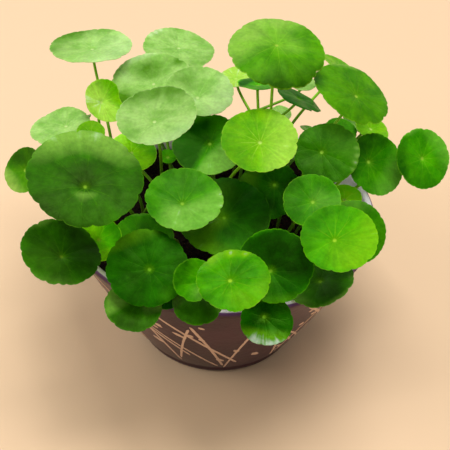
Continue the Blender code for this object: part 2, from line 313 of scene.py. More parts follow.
# %% Pot profile
def pot_profile():
    """The points (radius, height) of the bowl's section, from the middle of its floor round to its base."""
    lip = POT_WALL / 2
    top = POT_HEIGHT - lip
    rise, width = FLOOR_EASE
    low = POT_FLOOR + rise
    points = [(0.0, POT_FLOOR), (POT_MIDDLE, POT_FLOOR), (pot_inside(low) - width, POT_FLOOR)]
    points += [(pot_inside(height), height) for height in steps(low, top, WALL_STEPS)]
    centre = pot_outside(top) - lip
    start, end = LIP_SWEEP
    for turn in steps(math.pi * start, math.pi * end, LIP_STEPS):
        points.append((centre + lip * math.cos(turn), top + lip * math.sin(turn)))
    points += [(pot_outside(height), height) for height in steps(top, POT_WAIST_HEIGHT, WALL_STEPS)]
    ease = POT_WAIST_RADIUS - POT_BASE_RADIUS
    for turn in steps(math.radians(15), math.radians(90), FOOT_STEPS):
        points.append((POT_BASE_RADIUS + ease * math.cos(turn), POT_WAIST_HEIGHT * (1 - math.sin(turn))))
    return points + [(POT_MIDDLE, 0.0), (0.0, 0.0)]


print("profile points:", len(pot_profile()))

# %% [markdown]
# The glaze changes colour along the profile: a white glaze with a breath of lavender covers the inside and
# rolls over the lip, a thin purple line marks where the two glazes meet, and the outside is a satin
# purple-brown that turns a little warmer in patches. Peat stains the white where the soil touches it.
# Distance along the profile is kept in a UV map, so the colours follow the surface and not a flat height.
# Fine noise breaks the line up as melted glaze does.

# %% Pot finish
GLAZE_WAVER = 0.006  # how far the line between the glazes wanders, as a share of the pot's height
GLAZE_EDGE = (-0.006, 0.004)  # how soft that line is, in the same share
SEAM_FADE = 0.03  # how far down the wall the purple fades
STAIN_EDGE = (58.5 * MM, 61 * MM)  # the height up to which peat stains the inside

glaze = Finish("pot_glaze", 0.34, Coat_Weight=0.1, Coat_Roughness=0.2, Specular_IOR_Level=0.3)
along = glaze.parts(glaze.place("UV"))[1]
waver = glaze.math("MULTIPLY", glaze.math("SUBTRACT", glaze.noise(5 * MM, 3), 0.5), GLAZE_WAVER)
along = glaze.math("ADD", along, waver)
warmer = glaze.band(glaze.noise(28 * MM, 4), 0.35, 0.7)
wall_tone = glaze.blend(warmer, screen(50, 19, 34), screen(70, 33, 48))
specks = glaze.band(glaze.noise(1.2 * MM, 3), 0.62, 0.74, 0.0, 0.25)
wall_tone = glaze.blend(specks, wall_tone, screen(34, 14, 24))
seam = glaze.band(along, 0.0, SEAM_FADE, 1.0, 0.0)
wall_tone = glaze.blend(seam, wall_tone, screen(112, 70, 132))
white_tone = glaze.blend(glaze.noise(9 * MM, 3), screen(248, 240, 252), screen(255, 252, 255))
height = glaze.parts(glaze.place())[2]
stain = glaze.band(glaze.math("ADD", height, waver), *STAIN_EDGE, 1.0, 0.0)
white_tone = glaze.blend(stain, white_tone, screen(26, 14, 10))
glaze.paint(glaze.blend(glaze.band(along, *GLAZE_EDGE), white_tone, wall_tone))
glaze.bump(glaze.noise(2.5 * MM, 4), 0.12 * MM)
print("pot nodes:", len(glaze.nodes))

# %% Turn the pot
pot_shape = bmesh.new()
profile = pot_profile()
ring = [pot_shape.verts.new((radius, 0, height)) for radius, height in profile]
lines = [pot_shape.edges.new(pair) for pair in zip(ring, ring[1:])]
bmesh.ops.spin(pot_shape, geom=ring + lines, cent=(0, 0, 0), axis=(0, 0, 1), angle=2 * math.pi,
               steps=POT_TURN_STEPS, use_merge=True)
bmesh.ops.remove_doubles(pot_shape, verts=pot_shape.verts, dist=0.001 * MM)
bmesh.ops.recalc_face_normals(pot_shape, faces=pot_shape.faces)

LINE_START = math.radians(58)
NEAR = 0.5 * MM
FAR_INSIDE = -0.5


def glaze_share(place):
    """Where a point lies on the profile: below 0 inside and over the lip, above 0 down the outer wall."""
    lip = POT_WALL / 2
    top = POT_HEIGHT - lip
    reach = math.hypot(place.x, place.y)
    inner = pot_outside(min(place.z, top)) - lip
    if place.z > top:
        turn = math.atan2(place.z - top, reach - inner)
        return (LINE_START - turn) * lip / POT_HEIGHT
    if reach < inner - NEAR and place.z > POT_FLOOR - NEAR:
        return FAR_INSIDE
    return (LINE_START * lip + top - place.z) / POT_HEIGHT


pot_map = pot_shape.loops.layers.uv.new("glaze")
for face in pot_shape.faces:
    for loop in face.loops:
        loop[pot_map].uv = (0.5, glaze_share(loop.vert.co))
finish_piece("pot_body", pot_shape, [glaze.material], ["pot"])
print("pot triangles:", made_triangles["pot_body"])

# %% [markdown]
# ## Strokes on the wall
# Thin tan strokes cross each other on the glaze, with short dabs between them, as left by a brush of wax
# that kept the glaze off the clay. They could be a colour in the glaze, but a strip keeps a true edge from
# near and from far. Each stroke is a real strip, a tenth of a millimetre proud, that follows the wall's
# curve. A rule lays them out: groups spaced evenly round the bowl, each turned and slid a little by a
# seeded random draw, so no two look alike.

# %% Stroke helper
STROKE_LIFT = 0.12 * MM
STROKE_SINK = 0.2 * MM
STROKE_STEP = 1.5 * MM
WALL_SLANT = 1.13  # how much longer the sloping wall is than it is high
TIP_WIDTH = 0.25  # width of a stroke's very tip, as a share of its full width


def wall_point(turn, height, lift):
    """A point on the pot's outer wall; turn 0 is the front and grows towards the right."""
    reach = pot_outside(height) + lift
    return Vector((reach * math.sin(turn), -reach * math.cos(turn), height - lift * 0.5))


def add_stroke(shape, start, end, width, ragged):
    """A strip from start to end, both (degrees round the pot, millimetres up), with rounded tips."""
    (turn_a, up_a), (turn_b, up_b) = start, end
    middle = pot_outside((up_a + up_b) / 2 * MM)
    across = math.radians(turn_b - turn_a) * middle
    rise = (up_b - up_a) * MM * WALL_SLANT
    length = math.hypot(across, rise)
    count = max(4, round(length / STROKE_STEP))
    strip = bmesh.ops.create_grid(shape, x_segments=count, y_segments=2, size=0.5)["verts"]
    faces = list({face for vert in strip for face in vert.link_faces})
    shell = bmesh.ops.solidify(shape, geom=faces, thickness=0.1)["geom"]
    verts = set(strip) | {item for item in shell if isinstance(item, bmesh.types.BMVert)}
    deep = min(vert.co.z for vert in verts)
    seed = turn_a * 1.7 + up_a
    for vert in verts:
        share = vert.co.x + 0.5
        tip = math.sqrt(max(0.0, 1 - abs(2 * share - 1) ** (2 + length / width / 2)))
        rough = 1 + ragged * noise.noise(Vector((share * length / (3 * MM), seed, vert.co.y * 3)))
        side = vert.co.y * width * (TIP_WIDTH + (1 - TIP_WIDTH) * tip) * rough
        turn = math.radians(turn_a + (turn_b - turn_a) * share) - side * rise / length / middle
        height = (up_a + (up_b - up_a) * share) * MM + side * across / length
        low = vert.co.z < deep / 2
        vert.co = wall_point(turn, height, -STROKE_SINK if low else STROKE_LIFT)


print("strokes stand", STROKE_LIFT / MM, "mm proud")

# %% Lay out the strokes
STROKE_GROUPS = 12
DABS_PER_GROUP = 5
LINE_ROUGH = 0.3
DAB_ROUGH = 0.6

# A stroke's ends are given as degrees round the pot and millimetres up
stroke_shape = bmesh.new()
draw = random.Random(31)
for group in range(STROKE_GROUPS):
    turn = group * 360 / STROKE_GROUPS + draw.uniform(-4, 4)
    slide = draw.uniform(-4, 4)
    add_stroke(stroke_shape, (turn - 20, 60 + slide), (turn + 17, 16 + slide), 1.3 * MM, LINE_ROUGH)
    add_stroke(stroke_shape, (turn - 6, 56 + slide), (turn + 9, 9), 1.3 * MM, LINE_ROUGH)
    add_stroke(stroke_shape, (turn + 20, 50), (turn + 10, 9 + slide), 1.1 * MM, LINE_ROUGH)
    if group % 2 == 0:
        add_stroke(stroke_shape, (turn - 26, 42), (turn + 6, 8), 1.0 * MM, LINE_ROUGH)
    for dab in range(DABS_PER_GROUP):
        side, up = turn + draw.uniform(-15, 15), draw.uniform(13, 54)
        reach = draw.uniform(2, 6)
        end = (side + reach, up - reach * 0.7)
        add_stroke(stroke_shape, (side, up), end, draw.uniform(1.5, 3.0) * MM, DAB_ROUGH)
bmesh.ops.recalc_face_normals(stroke_shape, faces=stroke_shape.faces)

clay = Finish("pot_strokes", 0.75)
clay.paint(clay.blend(clay.noise(2 * MM, 4), screen(198, 164, 144), screen(224, 194, 172)))
clay.bump(clay.noise(0.6 * MM, 3), 0.06 * MM)
finish_piece("pot_strokes", stroke_shape, [clay.material], sharp=60)
print("stroke triangles:", made_triangles["pot_strokes"])

# %% [markdown]
# ## The soil
# Moist peat is almost black, with red-brown fibres. A displaced lump would do for it, but formulas keep its
# surface where the solid soil has it, so every stem still stands in it. Its surface is a round sheet of
# rings, lifted by the same gentle swells as the solid model, with crumbs that stand up by a noise formula.
# The sheet's outer ring turns down the pot's wall and closes below, so the piece is a closed body.

# %% Soil surface
SOIL_HEIGHT = 58 * MM
SOIL_CROWN = 3 * MM
SOIL_BUMP = 0.7 * MM
SOIL_WAVES = (210, 170, 330, 290)
SOIL_RINGS = 60
SOIL_TURNS = 150
SOIL_SIDE = 30 * MM
SOIL_FOOT = 4 * MM  # how far above the pot's floor the soil starts to draw in
SOIL_FOOT_INSET = 5 * MM
SOIL_CALM = 3 * MM  # no crumbs stand this close to the wall
FINE_CRUMBS = (2.2 * MM, 0.5 * MM)  # how wide and how high
COARSE_CRUMBS = (5 * MM, 1.2 * MM)
GAP = 0.3 * MM


def soil_level(x, y):
    share = min(1.0, math.hypot(x, y) / pot_inside(SOIL_HEIGHT))
    first, second, third, fourth = SOIL_WAVES
    bumps = math.sin(x * first + 1.3) * math.cos(y * second + 0.4)
    bumps += 0.6 * math.sin(x * third - y * fourth)
    return SOIL_HEIGHT + SOIL_CROWN * (1 - share ** 2) + SOIL_BUMP * bumps * (1 - share ** 4)


def crumble(x, y):
    """How far a crumb of peat stands up at this place."""
    width, height = FINE_CRUMBS
    fine = noise.noise(Vector((x, y, 0)) / width) * height
    width, height = COARSE_CRUMBS
    return fine + abs(noise.noise(Vector((x, y, 9)) / width)) * height


print("soil in the middle:", round(soil_level(0, 0) / MM, 1), "mm up")

# %% Grow the soil
soil_shape = bmesh.new()
edge = pot_inside(SOIL_HEIGHT) - GAP
bmesh.ops.create_circle(soil_shape, cap_ends=True, segments=SOIL_TURNS, radius=edge / SOIL_RINGS)
bmesh.ops.poke(soil_shape, faces=soil_shape.faces)
for ring in range(2, SOIL_RINGS + 1):
    rim = [item for item in soil_shape.edges if item.is_boundary]
    for vert in new_verts(bmesh.ops.extrude_edge_only(soil_shape, edges=rim)):
        vert.co *= ring / (ring - 1)
for vert in soil_shape.verts:
    x, y = vert.co.xy
    calm = min(1.0, (edge - math.hypot(x, y)) / SOIL_CALM)
    vert.co.z = soil_level(x, y) + crumble(x, y) * max(0.0, calm)
foot = POT_FLOOR + SOIL_FOOT
for height, inset in ((SOIL_SIDE, GAP), (foot, GAP), (POT_FLOOR + GAP, SOIL_FOOT_INSET)):
    rim = [item for item in soil_shape.edges if item.is_boundary]
    for vert in new_verts(bmesh.ops.extrude_edge_only(soil_shape, edges=rim)):
        reach = (pot_inside(max(height, foot)) - inset) / math.hypot(vert.co.x, vert.co.y)
        vert.co = Vector((vert.co.x * reach, vert.co.y * reach, height))
bmesh.ops.contextual_create(soil_shape, geom=[item for item in soil_shape.edges if item.is_boundary])
bmesh.ops.recalc_face_normals(soil_shape, faces=soil_shape.faces)

peat = Finish("soil_peat", 0.9, Specular_IOR_Level=0.1)
grit = peat.band(peat.noise(1.1 * MM, 5, roughness=0.7), 0.35, 0.75)
fibre = peat.band(peat.noise(0.6 * MM, 2), 0.66, 0.74)
peat_tone = peat.blend(grit, screen(5, 2, 2), screen(34, 16, 9))
peat.paint(peat.blend(fibre, peat_tone, screen(72, 36, 20)))
peat.bump(peat.noise(0.8 * MM, 4), 0.5 * MM)
finish_piece("soil_surface", soil_shape, [peat.material], ["soil"])
print("soil triangles:", made_triangles["soil_surface"])

# %% [markdown]
# Loose crumbs lie on the peat. Each is a small faceted ball, squashed and turned by a seeded random draw
# and seated about a third of its height into the surface, so none of them floats.

# %% Peat crumbs
CRUMB_COUNT = 420

crumb_shape = bmesh.new()
draw = random.Random(5)
for crumb in range(CRUMB_COUNT):
    reach = (edge - SOIL_CALM) * math.sqrt(draw.random())
    turn = draw.uniform(0, 2 * math.pi)
    x, y = reach * math.cos(turn), reach * math.sin(turn)
    size = draw.uniform(0.5, 1.5) * MM
    squash = Matrix.Diagonal((draw.uniform(0.7, 1.5), draw.uniform(0.6, 1.0), draw.uniform(0.45, 0.8), 1))
    spin = Matrix.Rotation(draw.uniform(0, math.pi), 4, "Z")
    seat = Matrix.Translation((x, y, soil_level(x, y) + crumble(x, y) + size * 0.2))
    bmesh.ops.create_icosphere(crumb_shape, subdivisions=1, radius=size, matrix=seat @ spin @ squash)
finish_piece("peat_crumbs", crumb_shape, [peat.material], sharp=25)
print("crumb triangles:", made_triangles["peat_crumbs"])

# %% [markdown]
# ## Where each leaf stands
# The planting table gives the middle of every blade, its size and how it leans. These are the same figures
# as in the solid model. Four more columns belong to the looks: which of the seven greens the blade has, how
# light that green is, and how far its navel, where the stem meets it, lies off the middle. How light a
# green is comes partly from the blade's own tone and partly from painted light and shade, which lifts
# blades in the shade of others most of all.

# %% Planting table
# Each leaf: x, y and z of the blade's middle and its diameter in millimetres, how far it leans from level
# and the heading it leans to in degrees, its cup as a percentage of its radius, its green, how light that
# green is (partly painted light and shade), and the navel's place to the right and to the back of the
# middle as percentages of the radius
LEAVES = {
    "back_01": (-63, 55.5, 114.5, 38, 7, 110, 4, "pale", 1.25, 3, -3),
    "back_02": (-23.5, 69, 107, 34, 7, -35, 5, "pale", 1.2, 0, 16),
    "back_03": (-34, 40, 106, 38, 17, -125, 6, "pale", 1.24, 4, 3),
    "back_04": (-12, 28, 110, 31, 13, -75, 9, "pale", 1.2, -4, -16),
    "back_05": (-28, -9, 121, 34, 14, -125, 10, "pale", 1.05, -7, -11),
    "back_06": (20.5, 11, 145, 41, 12, -70, -12, "warm", 1.2, -1, 10),
    "back_07": (53.5, 7, 128, 35, 23, -20, -10, "warm", 1.15, 10, -12),
    "back_08": (4, 52, 104, 17, 6, 180, 3, "lime", 1.05, 0, 0),
    "back_09": (52, 52, 112, 20, 30, 20, 2, "lime", 1.0, 0, 5),
    "back_10": (33, 33, 106, 22, 27, 30, -4, "deep", 1.1, 1, 20),
    "back_11": (13.7, 29, 115.5, 18, 16, 95, 2, "mid", 1.9, 0, 0),
    "back_12": (36, 59, 98, 12, 7, -60, 3, "pale", 1.0, 0, 0),
    "left_01": (-53.2, 22.5, 107.2, 20.2, 43, -45, 8, "lime", 1.18, -14, -10),
    "left_02": (-72, 12, 99, 27, 11, -165, 6, "pale", 1.15, 16, 14),
    "left_03": (-57.5, 3, 104, 12.5, 13, -75, 5, "lime", 0.8, 0, 0),
    "left_04": (-53.5, -47, 118, 46.5, 18, -65, -6, "olive", 1.1, 3, -22),
    "left_05": (-85, -10, 91.7, 20.3, 49, -132, 4, "warm", 0.95, 0, 0),
    "left_06": (-63.5, -56, 85.5, 33, 19, -35, 3, "olive", 1.25, 4, -10),
    "left_07": (-50, -42, 81, 20, 25, -100, 6, "fresh", 1.6, -2, 6),
    "left_08": (-28, -65, 87.5, 33, 29, -85, -3, "deep", 0.9, 6, -4),
    "left_09": (-33, -75, 75, 23, 17, -60, 5, "olive", 1.1, 25, 50),
    "mid_01": (-39, -4, 99, 21, 17, -60, 6, "lime", 1.7, -4, 2),
    "mid_02": (-25, 15, 84, 8, 17, -85, 12, "mid", 1.2, 0, 0),
    "mid_03": (-15, -39, 101, 32, 17, -80, 8, "mid", 0.95, -4, -5),
    "mid_04": (-32, -35, 77, 26, 11, -85, 7, "mid", 1.0, 0, 0),
    "mid_05": (-7, 9, 95, 32, 22, -85, 8, "mid", 1.25, 5, 10),
    "mid_06": (14.5, -21, 120, 31.6, 21, -90, 4, "lime", 1.0, 2, -4),
    "mid_07": (1.5, -34, 90, 38.5, 20, -95, 3, "deep", 0.8, 0, -1),
    "mid_08": (20, -17, 92, 27, 28, -95, 4, "deep", 0.8, 18, 21),
    "right_01": (43, -14.5, 110.5, 27.5, 34, -100, 3, "mid", 0.61, -16, 6),
    "right_02": (64, -12, 104, 27, 46, -55, 6, "mid", 0.9, -23, 3),
    "right_03": (84, -9, 106, 26, 50, -60, 2, "mid", 1.25, 2, 1),
    "right_04": (37, -35, 101, 24, 27, -100, 6, "mid", 0.95, 3, -2),
    "right_05": (52, -19, 90.5, 15, 19, -110, 5, "lime", 2.6, 0, 0),
    "right_06": (46.7, -61, 103, 30.5, 21, -100, 5, "fresh", 0.85, -12, -2),
    "right_07": (54.5, -42, 91, 27, 45, -85, 3, "mid", 0.8, 0, 0),
    "right_08": (66, 27, 96, 17, 23, -20, 4, "lime", 1.08, 0, 0),
    "right_09": (52, 24, 96, 15, 15, -55, 4, "mid", 0.85, 0, 0),
    "front_01": (22.5, -64, 90, 30.8, 33, -95, 9, "deep", 1.16, -12, -12),
    "front_02": (6, -84, 100.5, 28.3, 17, -100, -4, "fresh", 0.75, -9, -5),
    "front_03": (-9, -73, 89, 17, 48, -90, 6, "mid", 1.2, 60, 0),
    "front_04": (-7.5, -73, 77.5, 20.3, 20, -100, -6, "olive", 1.1, 15, 50),
    "front_05": (-20, -66, 73, 11, 25, -85, 4, "deep", 0.8, 0, 0),
    "front_06": (20, -80, 75.6, 21, 33, -90, -8, "deep", 0.86, -11, 17),
    "front_07": (42, -52, 73, 28.5, 16, -170, -4, "olive", 1.28, 0, 0),
    "rear_01": (-72, 42, 79, 22, 35, 150, 4, "mid", 1.0, 0, 5),
    "rear_02": (-43, 61, 79, 30, 35, 125, 6, "deep", 1.05, 5, 0),
    "rear_03": (-20, 76, 84, 30, 35, 105, -3, "mid", 0.95, 0, 5),
    "rear_04": (12, 57, 73, 26, 20, 85, 5, "deep", 1.0, -5, 0),
    "rear_05": (45, 50, 76, 20, 30, 55, 3, "mid", 1.05, 0, 0),
    "rear_06": (64, 40, 86, 22, 30, 35, 6, "fresh", 0.9, 5, 5),
    "rear_07": (-24, 44, 87, 25, 15, 110, 5, "mid", 0.9, 0, 0),
    "rear_08": (12, 36, 86, 25, 15, 80, 4, "deep", 1.0, 0, 5),
    "rear_09": (72, 26, 80, 25, 35, 15, -3, "deep", 1.05, 0, 0),
    "rear_10": (25.7, 44, 90.8, 10, 12, -60, 3, "pale", 1.2, 0, 0),
}
print("leaves:", len(LEAVES))

# %% [markdown]
# ## What sets one leaf apart
# No two blades are alike. A few turn up or down on one side, or have a bite or a notch in the edge. Most
# carry painted shade on one side, and many a painted sheen on another. One noise could vary them all, but
# then none would look like itself, so the tables below hold the marks of each. Headings are degrees round
# the blade, with 0 to the right and 90 to the back, and sizes are shares of the radius.

# %% Bends and bites
# Sides that turn up or down: heading, where the bend starts and how far it rises
BENDS = {
    "back_06": [(-80, 0.2, -0.1)],
    "mid_03": [(-60, 0.0, 0.1)],
    "front_02": [(100, 0.1, -0.15)],
    "front_06": [(-90, 0.2, 0.3)],
}
# Places where the edge is drawn in (above 0) or bulges (below 0): heading and width in degrees, and depth
BITES = {
    "back_06": [(-28, 5, 0.07)],
    "back_07": [(-60, 5, 0.06)],
    "back_10": [(-52, 6, 0.2)],
    "left_01": [(35, 30, 0.28), (-25, 16, -0.08)],
    "left_02": [(-10, 6, 0.12)],
    "left_06": [(-85, 4, 0.06)],
    "front_03": [(-60, 7, 0.1), (-120, 7, 0.08)],
}
print("leaves with a bend or a bite:", len(BENDS | BITES))

# %% Painted shade and painted sheen by sides
# Each side: its heading, where the change starts and where it is complete, and its amount, below 0 for
# painted shade and above 0 for painted sheen; a change that is complete at -1.5 covers the whole blade
SIDES = {
    "back_01": [(165, 0.1, 1.0, -0.7), (105, 0.3, 1.0, -0.5), (-15, -0.3, 0.8, 0.45)],
    "back_02": [(-40, 0.2, 1.0, -0.4)],
    "back_03": [(115, 0.7, 1.0, 0.9)],
    "back_04": [(130, 0.2, 0.9, -0.4), (-20, 0.0, 0.9, 0.6)],
    "back_05": [(95, 0.3, 0.9, -0.85), (-60, 0.3, 1.0, 0.5)],
    "back_06": [(135, -0.1, 0.6, 0.5), (-70, 0.2, 1.0, -0.95), (-90, 0.8, 1.0, -0.3)],
    "back_07": [(-80, 0.3, 0.9, -0.3), (100, 0.8, 1.0, 0.5)],
    "back_08": [(0, -2.0, -1.5, 1.2)],
    "back_11": [(150, 0.1, 0.6, -1.2), (160, 0.8, 1.0, 1.4)],
    "left_01": [(0, -2.0, -1.5, 0.8), (60, -0.1, 0.7, -0.8), (-120, 0.1, 0.7, 0.3)],
    "left_02": [(-30, 0.2, 0.9, -0.3)],
    "left_04": [(95, 0.05, 0.95, 1.05), (-100, 0.55, 1.0, -0.6), (0, 0.6, 1.0, -0.2)],
    "left_05": [(60, -0.3, 0.4, -0.8), (-150, 0.3, 1.0, 1.1)],
    "left_06": [(35, 0.0, 0.6, -0.75), (-90, 0.6, 1.0, 0.2), (60, 0.85, 1.0, 0.7), (125, 0.8, 1.0, 0.5)],
    "left_07": [(135, 0.0, 0.6, 0.6), (20, 0.2, 0.9, -0.7), (-85, 0.2, 0.8, 0.8)],
    "left_08": [(120, 0.55, 1.0, 0.8)],
    "left_09": [(150, 0.0, 0.6, 0.6), (-75, 0.1, 0.6, -0.6), (0, -0.1, 0.4, 0.7), (-45, 0.6, 1.0, -0.5),
                (180, 0.85, 1.0, -0.5)],
    "mid_01": [(40, 0.0, 0.8, -0.7), (140, 0.2, 0.9, 0.3)],
    "mid_03": [(-60, -0.1, 0.25, 0.75)],
    "mid_04": [(45, 0.5, 1.0, -0.5), (95, 0.8, 1.0, 0.5)],
    "mid_05": [(-45, -0.1, 0.5, 1.1), (165, -0.2, 0.4, -0.95), (115, 0.7, 1.0, 1.4)],
    "mid_06": [(-10, -0.2, 0.8, 0.8), (200, -0.1, 0.8, -0.5)],
    "mid_07": [(0, 0.4, 1.0, -0.5), (205, -0.2, 0.6, 0.75)],
    "mid_08": [(165, 0.2, 0.9, 0.6)],
    "right_01": [(30, -0.2, 0.7, 0.2), (-110, -0.2, 0.5, -0.45), (200, 0.8, 1.0, 0.5)],
    "right_02": [(140, 0.1, 0.5, -0.75), (-20, 0.1, 0.9, 0.4), (90, 0.85, 1.0, 0.6)],
    "right_03": [(190, 0.4, 0.9, -0.6), (-110, 0.0, 0.7, -0.5), (45, 0.3, 1.0, 0.35),
                 (135, 0.8, 1.0, 0.5)],
    "right_04": [(-50, 0.0, 0.8, 0.3), (180, 0.0, 0.8, -0.6)],
    "right_06": [(-30, -0.1, 0.7, 0.8), (140, 0.0, 0.8, -0.6), (-90, 0.8, 1.05, -0.6)],
    "right_07": [(110, 0.3, 0.9, 0.3)],
    "right_08": [(200, 0.0, 0.8, -0.3), (0, 0.3, 1.0, 0.15)],
    "front_01": [(70, -0.3, 0.3, -0.65), (-90, 0.6, 1.0, 0.35), (110, 0.85, 1.0, 0.8)],
    "front_02": [(100, 0.6, 0.9, 0.5), (-40, 0.2, 1.0, 0.5), (-90, 0.8, 1.0, -0.3)],
    "front_03": [(155, 0.3, 0.8, -0.8), (-10, 0.0, 0.8, 0.4)],
    "front_04": [(45, -0.2, 0.5, 0.5)],
    "front_06": [(-95, 0.15, 0.75, 1.0), (-100, 0.4, 0.95, 1.1), (90, 0.2, 1.0, 0.3)],
    "front_07": [(0, 0.7, 1.0, 0.3), (-60, 0.75, 1.0, 0.8), (-135, 0.4, 1.0, 0.4)],
}
print("leaves with a darker or paler side:", len(SIDES))

# %% Patches of painted shade, sheen and highlight
# Each patch is a soft round spot: painted shade below 0, painted sheen above 0, and a painted highlight
# where it is small and strong; the heading and reach of its middle, its size, and its amount as above
PATCHES = {
    "back_02": [(128, 0.95, 0.07, 1.5), (140, 0.93, 0.07, 1.7), (152, 0.95, 0.07, 1.5)],
    "back_03": [(212, 0.95, 0.42, -1.3), (212, 1.0, 0.2, -0.6), (152, 0.6, 0.3, 0.6),
                (48, 0.95, 0.26, -0.9), (132, 0.5, 0.26, -0.75), (98, 0.5, 0.3, -0.75),
                (60, 0.4, 0.3, -0.4)],
    "back_04": [(135, 0.5, 0.3, -0.6), (225, 0.3, 0.3, 0.5)],
    "back_06": [(5, 0.3, 0.3, 0.25), (110, 0.5, 0.15, -0.25)],
    "back_07": [(0, 0.0, 0.55, -0.35)],
    "left_01": [(-115, 0.9, 0.3, -0.5), (0, 0.0, 0.4, 0.4)],
    "left_04": [(0, 0.0, 0.5, -0.8), (110, 0.35, 0.3, -0.4), (-85, 0.2, 0.13, 0.9),
                (-125, 0.24, 0.13, 0.6), (-45, 0.26, 0.14, 0.7), (-90, 0.36, 0.14, 0.5),
                (225, 0.95, 0.35, -0.7)],
    "left_06": [(215, 0.4, 0.5, 0.14)],
    "left_07": [(200, 0.2, 0.35, 0.6)],
    "left_08": [(200, 0.35, 0.4, -0.7), (15, 0.85, 0.35, -0.5), (-110, 0.9, 0.3, -0.5),
                (-50, 0.85, 0.25, 0.15)],
    "mid_03": [(90, 0.7, 0.45, -0.55), (225, 0.95, 0.25, -0.6), (-95, 0.75, 0.14, 0.4),
               (-135, 0.35, 0.3, 0.45), (-8, 0.96, 0.08, 0.9), (15, 0.95, 0.07, 0.9)],
    "mid_04": [(90, 0.5, 0.3, -0.9)],
    "mid_05": [(225, 0.9, 0.4, -0.9), (190, 0.7, 0.45, -1.0), (60, 0.15, 0.3, -0.5)],
    "mid_07": [(-90, 0.5, 0.25, -0.5), (-10, 0.9, 0.3, -0.4), (180, 0.2, 0.25, 0.8),
               (90, 0.6, 0.25, 0.35)],
    "mid_08": [(10, 0.4, 0.5, -0.6)],
    "right_01": [(-35, 0.95, 0.07, 1.1), (-21, 0.93, 0.07, 1.2), (-8, 0.95, 0.07, 1.3),
                 (7, 0.93, 0.06, 1.1)],
    "right_02": [(0, 0.0, 0.4, -0.25)],
    "right_04": [(20, 0.25, 0.35, 0.4)],
    "right_06": [(-100, 0.3, 0.3, 0.3)],
    "front_01": [(70, 0.35, 0.5, -0.3), (0, 0.6, 0.35, -0.5), (225, 0.3, 0.25, 0.4)],
    "front_02": [(60, 0.3, 0.33, -0.7), (-80, 0.5, 0.3, 0.35), (135, 0.9, 0.2, 0.7),
                 (225, 0.95, 0.3, -0.5), (95, 0.85, 0.12, 1.4), (70, 0.9, 0.1, 1.2)],
    "front_03": [(-90, 0.45, 0.3, 0.6)],
    "front_04": [(-90, 0.3, 0.4, -0.3), (180, 0.9, 0.3, 0.4), (-55, 0.75, 0.4, -0.6)],
    "front_06": [(0, 0.0, 0.5, -0.6)],
    "front_07": [(-60, 0.4, 0.5, -0.6), (90, 0.2, 0.3, -0.5)],
}
print("leaves with patches:", len(PATCHES))

# %% Veins, rim and gloss
# How clearly the veins show, how bright the rim is (a pale margin, partly a painted edge highlight), and
# how glossy the blade is, where that isn't PLAIN
PLAIN = (1.0, 1.0, 0.0)
MARKS = {
    "back_06": (1.3, 1.0, 0.2),
    "left_01": (1.8, 1.0, 0.4),
    "left_04": (1.5, 0.9, 0.1),
    "left_08": (0.9, 0.6, 0.0),
    "mid_03": (1.2, 1.2, 0.4),
    "mid_06": (1.7, 0.8, 0.0),
    "right_01": (1.0, 1.2, 0.4),
    "right_04": (1.2, 1.5, 0.2),
    "right_06": (1.5, 0.6, 0.0),
    "front_01": (1.2, 2.0, 0.1),
    "front_02": (1.4, 0.8, 0.5),
    "front_03": (1.2, 0.9, 0.4),
    "front_06": (0.5, 0.8, 0.8),
}
print("leaves with marks of their own:", len(MARKS))

# %% [markdown]
# ## The shape of a blade
# Each blade could be modelled by hand, but one set of formulas grows all of them, and they match the
# solids. The functions here repeat the solid model's formulas: the round outline with its shallow lobes and
# the slow waves of the surface. The finer forms are added to them. Small teeth run along each lobe, the
# blade dips into a shallow funnel at its navel, and it swells a little between one main vein and the next.

# %% A leaf's own figures
SEED = 7
BLADE_LOBES = 12
LEAST_LOBES = 7
LOBE_WIDTH = 2.4
NOTCH = (0.008, 0.045)


class Leaf:
    """One row of the planting table, with the waves and notches that a seeded draw gives it."""

    def __init__(self, index, name, numbers):
        x, y, z, diameter, lean, heading, cup, self.tone, self.light, right, back = numbers
        self.name = "leaf_" + name
        self.bends = BENDS.get(name, ())
        self.bites = BITES.get(name, ())
        self.sides = SIDES.get(name, ())
        self.patches = PATCHES.get(name, ())
        self.marks = MARKS.get(name, PLAIN)
        self.middle = Vector((x, y, z)) * MM
        self.radius = diameter * MM / 2
        lean, heading = math.radians(lean), math.radians(heading)
        flat = math.sin(lean)
        self.normal = Vector((flat * math.cos(heading), flat * math.sin(heading), math.cos(lean)))
        self.turn = Vector((0, 0, 1)).rotation_difference(self.normal).to_matrix()
        self.cup = cup / 100
        draw = random.Random(SEED + index)
        spin = draw.uniform(0, 2 * math.pi)
        self.waves = [(2, draw.uniform(0.01, 0.04), draw.uniform(0, 2 * math.pi)),
                      (3, draw.uniform(0.01, 0.03), draw.uniform(0, 2 * math.pi)),
                      (5, draw.uniform(0.0, 0.02), draw.uniform(0, 2 * math.pi))]
        self.lobes = max(LEAST_LOBES, min(BLADE_LOBES, round(diameter / LOBE_WIDTH)))
        self.first_lobe = spin + math.pi / self.lobes
        self.notches = [draw.uniform(*NOTCH) for lobe in range(self.lobes)]
        self.navel = Vector((right / 100, back / 100)) * self.radius
        self.seed = index * 3.7


leaves = [Leaf(index, *entry) for index, entry in enumerate(LEAVES.items())]
print("largest blade:", round(max(leaf.radius for leaf in leaves) * 2 / MM), "mm")

# %% Edge of a blade
TOOTH = 0.011
TEETH = 3


